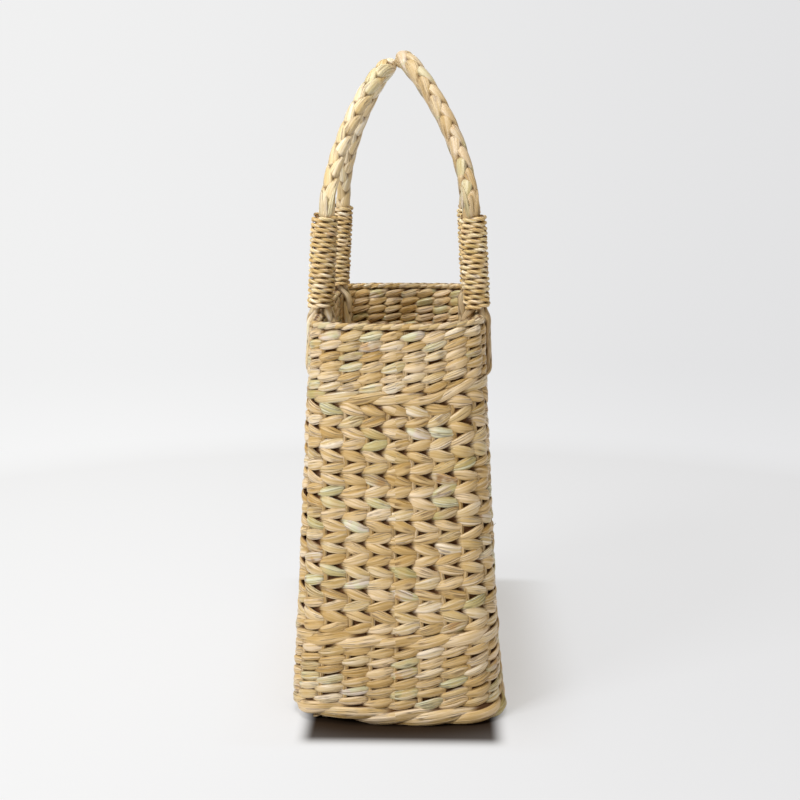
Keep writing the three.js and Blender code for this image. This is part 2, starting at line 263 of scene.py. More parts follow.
class Skein:
    """Strands gathered for one mesh, all with the same number of points around."""

    def __init__(self, around=WIDE_STRAND):
        self.around = around
        self.points = []
        self.quads = []
        self.caps = []
        self.quad_uv = []
        self.values = {"tone": [], "shade": [], "hollow": []}
        self.count = 0

    def add(self, path, rings, looped, tone, shade, hollow):
        """Adds a strand along a path, with its sections and its colour values."""
        count, around = len(path), self.around
        self.points.append(rings.reshape(-1, 3))
        for name, value in (("tone", tone), ("shade", shade), ("hollow", hollow)):
            if np.ndim(value) < 1:
                value = np.full(count, value)
            value = np.broadcast_to(value.reshape(count, -1), (count, around))
            self.values[name].append(value.ravel())
        rows = np.arange(count if looped else count - 1)
        next_rows = (rows + 1) % count
        columns = np.arange(around)
        next_columns = (columns + 1) % around
        first = self.count + rows[:, None] * around
        second = self.count + next_rows[:, None] * around
        quads = (first + columns, second + columns, second + next_columns, first + next_columns)
        self.quads.append(np.stack(quads, axis=-1).reshape(-1, 4))
        steps = np.linalg.norm(np.roll(path, -1, axis=0) - path, axis=1)
        run = np.concatenate([[0], np.cumsum(steps)])
        strand = len(self.points)
        start = NEXT_ALONG * strand + run[rows][:, None] + 0 * columns
        end = NEXT_ALONG * strand + run[rows + 1][:, None] + 0 * columns
        low = NEXT_AROUND * strand + 0 * start + columns / around * GIRTH
        high = low + GIRTH / around
        uv = np.stack([start, low, end, low, end, high, start, high], axis=-1)
        self.quad_uv.append(uv.reshape(-1, 8))
        if not looped:
            self.caps.append(self.count + columns[::-1])
            self.caps.append(self.count + (count - 1) * around + columns)
        self.count += count * around

    def tube(self, path, outward, half_out, half_side, tone, shade, hollow):
        """Adds a plain strand with two ends."""
        rings = tube_rings(path, outward, half_out, half_side, around=self.around)
        self.add(path, rings, False, tone, shade, hollow)

    def make(self, name):
        """One mesh object from every strand of the skein."""
        points = np.concatenate(self.points)
        quads = np.concatenate(self.quads)
        uv = np.concatenate(self.quad_uv)
        corners = quads.ravel()
        starts = np.arange(len(quads)) * 4
        if self.caps:
            caps = np.stack(self.caps)
            starts = np.concatenate([starts, len(corners) + np.arange(len(caps)) * self.around])
            corners = np.concatenate([corners, caps.ravel()])
        mesh = bpy.data.meshes.new(name)
        mesh.vertices.add(len(points))
        mesh.vertices.foreach_set("co", points.astype(np.float32).ravel())
        mesh.loops.add(len(corners))
        mesh.loops.foreach_set("vertex_index", corners.astype(np.int32))
        mesh.polygons.add(len(starts))
        mesh.polygons.foreach_set("loop_start", starts.astype(np.int32))
        mesh.polygons.foreach_set("use_smooth", np.ones(len(starts), bool))
        layer = mesh.uv_layers.new(name="strand")
        flat_uv = np.zeros(2 * len(corners), np.float32)
        flat_uv[: uv.size] = uv.ravel()
        layer.data.foreach_set("uv", flat_uv)
        for value_name, parts in self.values.items():
            attribute = mesh.attributes.new(value_name, "FLOAT", "POINT")
            attribute.data.foreach_set("value", np.concatenate(parts).astype(np.float32))
        mesh.update(calc_edges=True)
        mesh.validate()
        triangles = 2 * len(quads) + (self.around - 2) * len(self.caps)
        print(f"{name}: {triangles} triangles")
        return placed(name, mesh)


# %% [markdown]
# Dried leaf is never one colour. Most stitches are straw, some are paler, and a few are
# greenish, mauve grey or burnt. Fine lines run along the strand, and here and there a deep
# crease. The wall, the ropes, the plaits and the cord all show this, so the effects are node
# groups, and the finishes differ only in the values that they give them. Trees of nodes are
# long to write out, so each of these helpers adds a node, sets it and joins its inputs.

# %% Helpers for nodes
def socket(group, name, direction, kind, default=None):
    made = group.interface.new_socket(name=name, in_out=direction, socket_type=kind)
    if default is not None:
        made.default_value = default
    return made


def math_node(tree, operation, first, second=None, third=None):
    node = tree.nodes.new("ShaderNodeMath")
    node.operation = operation
    for place, value in enumerate((first, second, third)):
        if value is None:
            continue
        if isinstance(value, (int, float)):
            node.inputs[place].default_value = value
        else:
            tree.links.new(value, node.inputs[place])
    return node.outputs[0]


def mix_colours(tree, factor, first, second, blend="MIX"):
    node = tree.nodes.new("ShaderNodeMix")
    node.data_type = "RGBA"
    node.blend_type = blend
    for place, value in ((0, factor), (6, first), (7, second)):
        if isinstance(value, (int, float, tuple)):
            node.inputs[place].default_value = value
        else:
            tree.links.new(value, node.inputs[place])
    return node.outputs[2]


def vector_node(tree, operation, first, second=None, scale=None):
    node = tree.nodes.new("ShaderNodeVectorMath")
    node.operation = operation
    for place, value in ((0, first), (1, second), ("Scale", scale)):
        if isinstance(value, tuple):
            node.inputs[place].default_value = value
        elif value is not None:
            tree.links.new(value, node.inputs[place])
    return node.outputs["Value" if operation == "LENGTH" else "Vector"]


def noise(tree, vector, scale, detail):
    node = tree.nodes.new("ShaderNodeTexNoise")
    node.inputs["Scale"].default_value = scale
    node.inputs["Detail"].default_value = detail
    tree.links.new(vector, node.inputs["Vector"])
    return node.outputs[0]


def step_node(tree, value, low, high):
    """A smooth step from 0 at low to 1 at high. low may be the greater one."""
    node = tree.nodes.new("ShaderNodeMapRange")
    node.interpolation_type = "SMOOTHSTEP"
    node.inputs["From Min"].default_value = low
    node.inputs["From Max"].default_value = high
    tree.links.new(value, node.inputs["Value"])
    return node.outputs[0]


# %% [markdown]
# The first group makes the lines of the leaf. A noise is stretched along the strand, and a
# crease is drawn where the broad noise passes its middle value, because that happens along
# thin wandering lines.

# %% Node group for the lines along a strand
BROAD_SCALE = 0.35
FINE_SCALE = 1.0
BLOTCH_SCALE = 70.0
CREASE_EDGES = (0.030, 0.004)
CREASED_BLOTCHES = (0.40, 0.58)


def leaf_lines_group():
    group = bpy.data.node_groups.new("leaf_lines", "ShaderNodeTree")
    socket(group, "Strand", "INPUT", "NodeSocketVector")
    socket(group, "Along", "INPUT", "NodeSocketFloat", 60.0)
    socket(group, "Across", "INPUT", "NodeSocketFloat", 1400.0)
    for name in ("Fine", "Broad", "Blotch", "Crease"):
        socket(group, name, "OUTPUT", "NodeSocketFloat")
    nodes, links = group.nodes, group.links
    given = nodes.new("NodeGroupInput")
    result = nodes.new("NodeGroupOutput")
    combine = nodes.new("ShaderNodeCombineXYZ")
    links.new(given.outputs["Along"], combine.inputs[0])
    links.new(given.outputs["Across"], combine.inputs[1])
    combine.inputs[2].default_value = 1.0
    stretched = vector_node(group, "MULTIPLY", given.outputs["Strand"], combine.outputs[0])
    fine = noise(group, stretched, FINE_SCALE, detail=4.0)
    broad = noise(group, stretched, BROAD_SCALE, detail=2.0)
    blotch = noise(group, given.outputs["Strand"], BLOTCH_SCALE, detail=2.0)
    from_ridge = math_node(group, "ABSOLUTE", math_node(group, "SUBTRACT", broad, 0.5))
    line = step_node(group, from_ridge, *CREASE_EDGES)
    crease = math_node(group, "MULTIPLY", line, step_node(group, blotch, *CREASED_BLOTCHES))
    for name, value in (("Fine", fine), ("Broad", broad), ("Blotch", blotch), ("Crease", crease)):
        links.new(value, result.inputs[name])
    return group


LEAF_LINES = leaf_lines_group()
print(f"leaf_lines: {len(LEAF_LINES.nodes)} nodes")

# %% [markdown]
# The second group mixes the colour. It takes the leaf's own colours and the colour of its
# painted shade as inputs, so the finish of each kind of strand can be set where its material is
# made. The tone value picks the colour. The lines and the shade of the stitch make it lighter
# or darker, and a darker leaf is also browner: blue falls off fastest. Shade is painted into
# the hollows between stitches as deep brown, because light that gets in there has already
# been coloured by leaf. The deep creases take the same painted shade.

# %% Node group for the colour of dried leaf
LEAF_COLOURS = ("Straw", "Pale", "Green", "Mauve", "Burnt", "Painted shade colour")
TONE_EDGES = {
    "Pale": (0.40, 0.75), "Green": (0.78, 0.90), "Mauve": (0.93, 0.97), "Burnt": (0.985, 1.02)
}
TONE_WANDERS = 0.30
DARKEST_SHADE = 0.80
SHADE_SPAN = 0.34
LINE_DEPTHS = {"Fine": 1.30, "Broad": 0.90, "Blotch": 0.30}
LIGHTEST = 1.22
COLOUR_POWERS = (0.8, 1.2, 2.5)
CREASE_DEPTH = 0.55


def leaf_colour_group():
    group = bpy.data.node_groups.new("leaf_colour", "ShaderNodeTree")
    for name in LEAF_COLOURS:
        socket(group, name, "INPUT", "NodeSocketColor", (0.5, 0.5, 0.5, 1))
    for name in ("Tone", "Shade", "Hollow", "Fine", "Broad", "Blotch", "Crease"):
        socket(group, name, "INPUT", "NodeSocketFloat", 0.5)
    socket(group, "Hollow strength", "INPUT", "NodeSocketFloat", 0.8)
    socket(group, "Line strength", "INPUT", "NodeSocketFloat", 1.0)
    socket(group, "Colour", "OUTPUT", "NodeSocketColor")
    nodes, links = group.nodes, group.links
    given = nodes.new("NodeGroupInput").outputs
    result = nodes.new("NodeGroupOutput")
    colour = given["Straw"]
    from_plain = math_node(group, "SUBTRACT", given["Blotch"], 0.5)
    wandering = math_node(group, "MULTIPLY", from_plain, TONE_WANDERS)
    tone = math_node(group, "ADD", given["Tone"], wandering)
    for name, edges in TONE_EDGES.items():
        colour = mix_colours(group, step_node(group, tone, *edges), colour, given[name])
    lightness = math_node(group, "MULTIPLY_ADD", given["Shade"], SHADE_SPAN, DARKEST_SHADE)
    for part, depth in LINE_DEPTHS.items():
        line = math_node(group, "MULTIPLY_ADD", given[part], depth, 1 - depth / 2)
        lightness = math_node(group, "MULTIPLY", lightness, line)
    from_plain = math_node(group, "SUBTRACT", lightness, 1.0)
    lightness = math_node(group, "MULTIPLY_ADD", from_plain, given["Line strength"], 1.0)
    lightness = math_node(group, "MINIMUM", lightness, LIGHTEST)
    darkening = nodes.new("ShaderNodeCombineColor")
    for place, power in enumerate(COLOUR_POWERS):
        links.new(math_node(group, "POWER", lightness, power), darkening.inputs[place])
    colour = mix_colours(group, 1.0, colour, darkening.outputs[0], "MULTIPLY")
    # Painted shade: the hollows and the deep creases are mixed towards the painted shade colour.
    depth = math_node(group, "MULTIPLY", given["Hollow"], given["Hollow strength"])
    crease = math_node(group, "MULTIPLY", given["Crease"], CREASE_DEPTH)
    depth = math_node(group, "MAXIMUM", depth, crease)
    colour = mix_colours(group, depth, colour, given["Painted shade colour"])
    links.new(colour, result.inputs["Colour"])
    return group


LEAF_COLOUR = leaf_colour_group()
print(f"leaf_colour: {len(LEAF_COLOUR.nodes)} nodes")

# %% [markdown]
# A material places both groups and feeds the principled shader. The lines also make the bump,
# and the broad ones change the roughness a little, so that the sheen of the leaf breaks up
# along them. The hollows are quite dull.

# %% Material of dried leaf
ROUGHNESS_SPAN = 0.25
ROUGHNESS_BELOW = 0.12
BROAD_HEIGHT = 1.6
CREASE_HEIGHT = 0.35


def leaf_material(
    name, colours, along, across, hollow_strength, roughness, bump_height, lines_seen=1.0
):
    """A finish of dried leaf. along and across say how dense the lines are in each way."""
    material = bpy.data.materials.new(name)
    material.use_nodes = True
    tree = material.node_tree
    nodes, links = tree.nodes, tree.links
    shader = nodes["Principled BSDF"]
    strand = nodes.new("ShaderNodeUVMap")
    strand.uv_map = "strand"
    lines = nodes.new("ShaderNodeGroup")
    lines.node_tree = LEAF_LINES
    lines.inputs["Along"].default_value = along
    lines.inputs["Across"].default_value = across
    links.new(strand.outputs[0], lines.inputs["Strand"])
    colour = nodes.new("ShaderNodeGroup")
    colour.node_tree = LEAF_COLOUR
    for socket_name, value in zip(LEAF_COLOURS, colours):
        colour.inputs[socket_name].default_value = value
    colour.inputs["Hollow strength"].default_value = hollow_strength
    colour.inputs["Line strength"].default_value = lines_seen
    values = {}
    for value_name in ("tone", "shade", "hollow"):
        attribute = nodes.new("ShaderNodeAttribute")
        attribute.attribute_name = value_name
        values[value_name] = attribute.outputs["Fac"]
        links.new(values[value_name], colour.inputs[value_name.capitalize()])
    for part in ("Fine", "Broad", "Blotch", "Crease"):
        links.new(lines.outputs[part], colour.inputs[part])
    links.new(colour.outputs["Colour"], shader.inputs["Base Color"])
    broad = lines.outputs["Broad"]
    rough = math_node(tree, "MULTIPLY_ADD", broad, ROUGHNESS_SPAN, roughness - ROUGHNESS_BELOW)
    rough = math_node(tree, "MAXIMUM", rough, values["hollow"])
    links.new(rough, shader.inputs["Roughness"])
    shader.inputs["Specular IOR Level"].default_value = 0.5
    height = math_node(tree, "MULTIPLY_ADD", broad, BROAD_HEIGHT, lines.outputs["Fine"])
    sunk = math_node(tree, "MULTIPLY", lines.outputs["Crease"], CREASE_HEIGHT)
    height = math_node(tree, "SUBTRACT", height, sunk)
    bump = nodes.new("ShaderNodeBump")
    bump.inputs["Strength"].default_value = 1.0
    bump.inputs["Distance"].default_value = bump_height
    links.new(height, bump.inputs["Height"])
    links.new(bump.outputs[0], shader.inputs["Normal"])
    return material


# %% [markdown]
# The colours are written as they are seen on a screen. The rope courses are twisted from the
# same leaf as the wall, but the lines on them are longer. The cord is paler. The two plaits
# are a lit and a shaded copy of one finish: the left one is paler, and shade is painted into
# the darker colours of the right one.

# %% Finishes
def tint(red, green, blue):
    """A colour as seen on a screen, from 0 to 255, in the linear values of the shader."""
    parts = [part / 255 for part in (red, green, blue)]
    return tuple(p / 12.92 if p <= 0.04045 else ((p + 0.055) / 1.055) ** 2.4 for p in parts) + (1.0,)


def palette(*colours):
    return [tint(*colour) for colour in colours]


# Deep brown of the painted shade in the hollows and creases.
HOLLOW_SHADE_BROWN = (84, 40, 3)
PLAIT_SHADE = (96, 60, 20)
WEAVE_COLOURS = palette(
    (223, 193, 143), (230, 207, 165), (212, 203, 158), (216, 196, 164), (206, 168, 116),
    HOLLOW_SHADE_BROWN,
)
CORD_COLOURS = palette(
    (236, 208, 158), (246, 226, 182), (226, 204, 154), (220, 196, 156), (212, 174, 122),
    HOLLOW_SHADE_BROWN,
)
# A lit and a shaded copy: the right plait has painted shade in its colours, the left is lit.
LIT_AND_SHADED_PLAIT_COLOURS = {
    "right": palette(
        (199, 173, 131), (211, 189, 151), (198, 185, 143), (202, 182, 150), (196, 165, 121),
        PLAIT_SHADE,
    ),
    "left": palette(
        (232, 210, 168), (238, 221, 185), (228, 216, 178), (231, 213, 183), (226, 198, 154),
        PLAIT_SHADE,
    ),
}
weave_finish = leaf_material(
    "weave_leaf", WEAVE_COLOURS, along=32.0, across=620.0, hollow_strength=0.92,
    roughness=0.34, bump_height=0.0011,
)
rope_finish = leaf_material(
    "rope_leaf", WEAVE_COLOURS, along=24.0, across=620.0, hollow_strength=0.90,
    roughness=0.34, bump_height=0.0011,
)
plait_finish = {
    side: leaf_material(
        f"plait_leaf_{side}", colours, along=22.0, across=520.0, hollow_strength=0.85,
        roughness=0.42, bump_height=0.0005, lines_seen=0.55,
    )
    for side, colours in LIT_AND_SHADED_PLAIT_COLOURS.items()
}
cord_finish = leaf_material(
    "cord_leaf", CORD_COLOURS, along=60.0, across=300.0, hollow_strength=0.80,
    roughness=0.50, bump_height=0.0003,
)
for finish in (weave_finish, rope_finish, *plait_finish.values(), cord_finish):
    print(f"finish {finish.name}")


def dress(piece, material):
    piece.data.materials.append(material)
    return piece


# %% [markdown]
# Each stitch of a round is half a turn of its strand, called a lobe here. In a real wall no
# two are quite alike, so each lobe gets its own fullness, colour and slant by chance. They
# change over where the lobe dives between its neighbours, where nobody sees it.

# %% Values for each lobe
CHANGE_AFTER = 0.93
CHANGE_SPAN = 0.07


def lobe_values(theta, lobes, rng, low, high, lead=0.0):
    """One random value for each half turn, with a quick change between them.

    lead makes the half turns that lie in front longer, and those behind shorter.
    """
    values = rng.uniform(low, high, lobes)
    place = theta / math.pi + 0.5 - lead * np.sin(theta)
    index = np.floor(place).astype(int)
    share = place - index
    here = values[index % lobes]
    after = values[(index + 1) % lobes]
    before = values[(index - 1) % lobes]
    to_next = 0.5 * smooth((share - CHANGE_AFTER) / CHANGE_SPAN)
    to_last = 0.5 * smooth((CHANGE_SPAN - share) / CHANGE_SPAN)
    return here + (after - here) * to_next + (before - here) * to_last


# %% [markdown]
# In a twined round two strands cross between every two stakes. Seen from above each one sways
# from the front of the wall to the back, and seen from the front it climbs or sinks as it goes,
# so that its stitch slants. A rope course is the same with three strands and a longer lay. The
# function below makes any of them: the angle theta tells how far a strand has turned, its
# cosine sets how far out it lies, and its sine how high. LOBES_VARY says how much one lobe
# differs from the next. A point is bright where its lobe lies in front and it faces away from
# the wall. All the rest is hollow, and gets painted shade.

# %% Rounds of twining
STEPS_A_STAKE = 10
ROUND = np.arange(STAKES * STEPS_A_STAKE) / STEPS_A_STAKE
UP = np.array([0.0, 0.0, 1.0])
LOBE_LEAD = 0.14
LOBES_VARY = {
    "turn": (-0.16, 0.16),
    "fullness": (0.86, 1.10),
    "stoutness": (0.85, 1.18),
    "lift": (-0.06, 0.06),
    "slant": (0.75, 1.25),
    "tilt": (-0.16, 0.16),
}
ZIGZAG = 0.90
WAIST_POWER = 0.7
OUTWARD_EDGE = 0.05
OUTWARD_SPAN = 0.46
FRONT_EDGE = 0.44
FRONT_SPAN = 0.60


def twine_round(
    skein, rng, level, height, hand, strands=2, turns=STAKES // 2, reach=0.0028, sway=0.27,
    fullness=0.54, waist=0.36, thick=0.0025, thin=0.0029, phase=0.0, jitter=1.0, taper=0.0,
    bulge=0.0, tones=(0, 1), rests_on=-1.0,
):
    """One round of the wall. hand is 1 where stitches climb to the right and -1 where they sink.

    reach, thick, thin and bulge are in metres: how far a strand swings out, its half thickness
    in a lobe and in a dive, and how far the whole round stands out. sway, fullness and waist
    are shares of the round's height: how far a strand climbs, and the half height of a lobe
    and of a dive. jitter scales how unevenly the lobes turn and lift, taper makes one end of a
    lobe the fuller one, and tones is the range of its colours. rests_on is the level of what
    presses the round flat from below.
    """
    angles = section_angles(WIDE_STRAND)
    for strand in range(strands):
        theta = 2 * math.pi * (turns * (ROUND - phase) / STAKES + strand / strands)

        def each_lobe(low, high):
            return lobe_values(theta, 2 * turns, rng, low, high, lead=LOBE_LEAD)

        turned = theta + each_lobe(*LOBES_VARY["turn"]) * jitter
        cosine = np.cos(turned)
        sine = np.sin(turned)
        near = np.abs(cosine)
        sign = np.where(cosine >= 0, 1.0, -1.0)
        full = each_lobe(*LOBES_VARY["fullness"])
        stout = each_lobe(*LOBES_VARY["stoutness"])
        lift = each_lobe(*LOBES_VARY["lift"]) * jitter * height
        out = bulge + reach * cosine * stout
        swing = np.arcsin(ZIGZAG * sine) / math.asin(ZIGZAG)
        z = level + lift + hand * sway * height * swing * each_lobe(*LOBES_VARY["slant"])
        half_side = height * (waist + (fullness - waist) * near**WAIST_POWER) * full
        half_side = half_side * (1 - taper * sine * sign)
        half_out = thin + (thick - thin) * near * stout
        path, facing = wall_place(ROUND, z, out)
        outward = facing + each_lobe(*LOBES_VARY["tilt"])[:, None] * UP
        creases = wrinkles(len(ROUND), rng, depth=0.22, count=5)
        rings = tube_rings(path, outward, half_out, half_side, True, creases)
        rings[..., 2] = np.maximum(rings[..., 2], rests_on)
        # Painted shade: hollow, 1 - crown, is high where the strand lies behind or turns away from
        # the front.
        crown = 0
        for face in (1, -1):
            turned_out = smooth((face * np.cos(angles) + OUTWARD_EDGE) / OUTWARD_SPAN)
            in_front = smooth((face * cosine + FRONT_EDGE) / FRONT_SPAN)
            crown = np.maximum(crown, turned_out[None, :] * in_front[:, None])
        skein.add(path, rings, True, each_lobe(*tones), each_lobe(0, 1), 1 - crown)


# %% [markdown]
# The wall from the floor up: a thick foot rope, six slanted rounds, a rope course, twenty
# rounds that slant down and up by turns and so make arrow heads, a second rope course, six
# more slanted rounds and a thin border. Their levels come from the solid rings, but a wall
# that is made by hand isn't level all round. At the near right corner the weaver drew the
# rounds up. The upper rope climbs most, and the round above it gets thin there. At the near
# left corner the foot is rounded and stands a little off the floor. Places along a round are
# counted in stakes.

# %% Levels of the rounds
ROWS = {"lower_band": 6, "middle_band": 20, "upper_band": 6}
SEED = 4200
ROPE_LEVEL = (lowest("upper_rope")[2] + highest("upper_rope")[2]) / 2
RISE_LEVELS = (0, 0.05, 0.15, 0.235, ROPE_LEVEL, RIM_TOP)
RISES = (0, 0.002, 0.004, 0.005, 0.012, 0.0025)
THINNED = 0.85
FOOT_LIFT = 0.0052
LIFT_ENDS = 0.078
PHASE_LEVELS = (0.04, 0.085, 0.28, 0.30)
PHASES = (0.32, 0.45, 0.0, -0.18)
PHASE_JITTER = 0.05
NEAR_RIGHT = (1.5, 2.3, 6.8, 2.6)
NEAR_LEFT = (46.0, 4.0, 56.0, 3.4)


def corner_share(u, start, way_up, end, way_down):
    """1 round a corner, and 0 before its start and after its end."""
    return smooth((u - start) / way_up) * smooth((end - u) / way_down)


def near_right_corner(u):
    return corner_share(u, *NEAR_RIGHT)


def near_left_corner(u):
    return corner_share(np.mod(u, STAKES), *NEAR_LEFT)


def corner_rise(u, level):
    """How far the rounds are drawn up or lifted at the two near corners."""
    foot_lift = FOOT_LIFT * near_left_corner(u) * np.clip(1 - level / LIFT_ENDS, 0, 1)
    return near_right_corner(u) * np.interp(level, RISE_LEVELS, RISES) + foot_lift


def stake_phase(level):
    """Share of a stake by which the crossings move sideways from band to band."""
    return np.interp(level, PHASE_LEVELS, PHASES)


def round_phase(level, rng):
    return stake_phase(level.mean()) + rng.uniform(-PHASE_JITTER, PHASE_JITTER)


def band_rows(node):
    """Level and height of each round of a band, for every place of the round."""
    low, high = lowest(node)[2], highest(node)[2]
    edges = np.linspace(low, high, ROWS[node] + 1)[:, None]
    raised = edges + corner_rise(ROUND, edges)
    if node == "upper_band":
        first = raised[0] + (edges[1] - edges[0]) * (1 - THINNED * near_right_corner(ROUND))
        shares = np.linspace(0, 1, ROWS[node])[:, None]
        raised[1:] = first + (raised[-1] - first) * shares
    return [((low + high) / 2, high - low) for low, high in zip(raised[:-1], raised[1:])]


# %% [markdown]
# Each skein stands for the solid ring of the same place. The lower and the upper band slant
# one way. The twenty rounds between them go into four skeins, to keep each mesh small.

# %% Bands
def wall_piece(name, skein, material=weave_finish):
    piece = dress(skein.make(name), material)
    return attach(piece, "basket")


for node, seed in (("lower_band", 1), ("upper_band", 2)):
    rng = np.random.default_rng(SEED + seed)
    skein = Skein()
    for level, height in band_rows(node):
        phase = round_phase(level, rng)
        twine_round(skein, rng, level, height, 1, sway=0.23, phase=phase, taper=-0.10)
    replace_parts(wall_piece(f"{node}_rounds", skein), node)

CHEVRON_GROUPS = 4
rng = np.random.default_rng(SEED + 3)
rows = band_rows("middle_band")
group_size = len(rows) // CHEVRON_GROUPS
for group_index in range(CHEVRON_GROUPS):
    skein = Skein()
    for row in range(group_index * group_size, (group_index + 1) * group_size):
        level, height = rows[row]
        climbs = row % 2 == 0
        twine_round(
            skein, rng, level, height, 1 if climbs else -1, sway=0.21 if climbs else 0.25,
            phase=round_phase(level, rng), fullness=0.55, waist=0.39,
            taper=-0.14 if climbs else 0.18,
        )
    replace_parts(wall_piece(f"middle_band_rounds_{group_index + 1}", skein), "middle_band")

# %% [markdown]
# The ropes are rounds of three strands with a long lay. The foot rope is the thickest. The
# basket stands on it, so its underside is pressed flat, and it is drawn in where the near
# left corner is rounded. The border of the rim also has three strands, but with a short lay
# and little sway, like a thin wrapped cord.

# %% Rope courses
def rope_course(node, seed, turns, off_floor=0.0, **shape):
    low, high = lowest(node)[2] + off_floor, highest(node)[2]
    middle = (low + high) / 2
    level = middle + corner_rise(ROUND, middle)
    skein = Skein()
    rng = np.random.default_rng(SEED + seed)
    twine_round(skein, rng, level, high - low, 1, strands=3, turns=turns, **shape)
    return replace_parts(wall_piece(f"{node}_course", skein, rope_finish), node)


for node, seed in (("lower_rope", 11), ("upper_rope", 12)):
    rope_course(
        node, seed, turns=13, reach=0.0028, sway=0.31, fullness=0.52, waist=0.34,
        thick=0.0030, thin=0.0030,
    )
rope_course(
    "foot_rope", 13, turns=11, off_floor=0.0012, reach=0.0028, sway=0.28, fullness=0.50,
    waist=0.32, thick=0.0040, thin=0.0034, jitter=0.7,
    bulge=0.0016 - 0.0040 * near_left_corner(ROUND), rests_on=0.0002,
)
rope_course(
    "rim_border", 14, turns=42, reach=0.0014, sway=0.15, fullness=0.38, waist=0.34,
    thick=0.0030, thin=0.0026, jitter=0.4, tones=(0.5, 0.85),
)

# %% [markdown]
# Between the strands a thin layer in the middle of the wall is painted all in the deep brown
# shade colour, a sheet of painted shade, so that no light comes through a notch.

# %% Painted shade sheet in the wall
FILLING_HALF = 0.0004
FILLING_LEVELS = np.linspace(0.010, RIM_TOP - 0.003, 16)


def wall_shade_sheet():
    skein = Skein(2 * len(FILLING_LEVELS))
    levels = FILLING_LEVELS[:, None]
    high = levels + corner_rise(ROUND, levels)
    outer = wall_place(ROUND, high, FILLING_HALF)[0]
    inner = wall_place(ROUND, high, -FILLING_HALF)[0]
    rings = np.concatenate([inner, outer[::-1]]).transpose(1, 0, 2)
    # hollow 1.0: the whole sheet is painted shade.
    skein.add(outer[len(levels) // 2], rings, True, tone=0.2, shade=0.2, hollow=1.0)
    return wall_piece("wall_shade_sheet", skein)


wall_shade_sheet()

# %% [markdown]
# The stakes stand upright inside the wall. Only short pieces of them show, as small pegs in the
# notches between the arrow heads. Pegs alone could be set in the notches, but a whole stake
# from foot to rim is simpler, and shows in every notch, wherever the rounds are drawn up.

# %% Stakes
STAKE_PLACE = 0.64
STAKE_OUT = 0.0010
STAKE_HALF = (0.0016, 0.0022)
STAKE_LEVELS = np.arange(0.016, RIM_TOP - 0.004, 0.011)
STAKE_JITTER = 0.05


def stakes():
    skein = Skein(THIN_STRAND)
    rng = np.random.default_rng(SEED + 20)
    middles = STAKE_PLACE + stake_phase(STAKE_LEVELS)
    for stake in range(STAKES):
        u = stake + middles + rng.uniform(-STAKE_JITTER, STAKE_JITTER, len(middles))
        high = STAKE_LEVELS + corner_rise(u % STAKES, STAKE_LEVELS)
        path, facing = wall_place(u % STAKES, high, STAKE_OUT)
        # The last value, hollow 0.15, gives each stake a little painted shade.
        skein.tube(path, facing, *STAKE_HALF, rng.uniform(0, 0.5), rng.uniform(0, 0.6), 0.15)
    return wall_piece("stakes", skein)


stakes()

# %% [markdown]
# Inside, the floor of the basket is plain weave: flat strips that pass over and under each
# other, cut to the rounded shape of the foot. A chequered texture on a plate would look flat
# from above, so each strip is a strand on a wave, and its neighbours are half a wave on.

# %% Base
STRIP_PITCH = 0.0134
STRIPS_ALONG = 12
STRIPS_ACROSS = 28
STRIP_HALF = (0.0013, 0.0062)
STRIP_LEVEL = 0.004
STRIP_WAVE = 0.0017
STRIP_STEP = 0.0022
STRIP_WANDER = 0.0003
WANDER_PACE = 60
BASE_CORNER = FOOT_CORNER - WALL + 0.005


def strip_offsets(count):
    return (np.arange(count) - (count - 1) / 2) * STRIP_PITCH


def base_weave():
    half_width, half_length = highest("base_mat")[:2]
    skein = Skein(THIN_STRAND)
    rng = np.random.default_rng(SEED + 21)
    columns = strip_offsets(STRIPS_ALONG)
    lines = strip_offsets(STRIPS_ACROSS)

    def reach_at(offset, half_across, half_along):
        past = max(0, abs(offset) - (half_across - BASE_CORNER))
        return half_along - BASE_CORNER + math.sqrt(max(0, BASE_CORNER**2 - past**2))

    for along_y, offsets, first in ((True, columns, lines[0]), (False, lines, columns[0])):
        for index, offset in enumerate(offsets):
            sizes = (half_width, half_length) if along_y else (half_length, half_width)
            reach = reach_at(offset, *sizes)
            run = np.arange(-reach, reach, STRIP_STEP)
            sign = (1 if along_y else -1) * (-1) ** index
            z = STRIP_LEVEL + STRIP_WAVE * sign * np.cos(math.pi * (run - first) / STRIP_PITCH)
            aside = offset + STRIP_WANDER * np.sin(run * WANDER_PACE + rng.uniform(0, 6))
            pair = (aside, run) if along_y else (run, aside)
            path = np.stack([*pair, z], axis=-1)
            outward = UP + 0 * path
            # The last value, hollow 0.1, gives each strip a little painted shade.
            skein.tube(path, outward, *STRIP_HALF, rng.uniform(0, 1), rng.uniform(0, 1), 0.1)
    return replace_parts(wall_piece("base_weave", skein), "base_mat")


base_weave()

# %% [markdown]
# Each handle is one flat plait of three strands. Its tail lies outside the lashed leg. From
# there it goes down the wall, through it just above the upper rope and up again inside. The
# real plait is pushed through a slot that is opened in the weave. Here its centre line is laid
# out point by point for the near leg of the right handle. Heights on a leg are counted from
# the hinge.

# %% Places on a leg
HINGES = {joint["name"]: joint["pos_m"] for joint in frame["joints"]}
LEG_X, _, HINGE = HINGES["handle_right_swing"]
LEG_Y = 0.110
LEAN = math.radians(3)
LIMB_OFFSET = 0.00395
LASHING_TOP = 0.0866
LIMB_HALF = (0.0065, 0.0038)
LIMB_MIDDLE = 0.045
LIMB_FOOT = 0.001
TAIL_END = LASHING_TOP - 0.002
CROSSING = highest("upper_rope")[2] + 0.0045
LOOP_LEVELS = (0.349, 0.338, 0.320)
LOOP_BEND = 0.005
LOOP_OFFSET = 0.0083
INNER_LOOP_OUT = 0.0034
CHANGE_LENGTH = 0.012


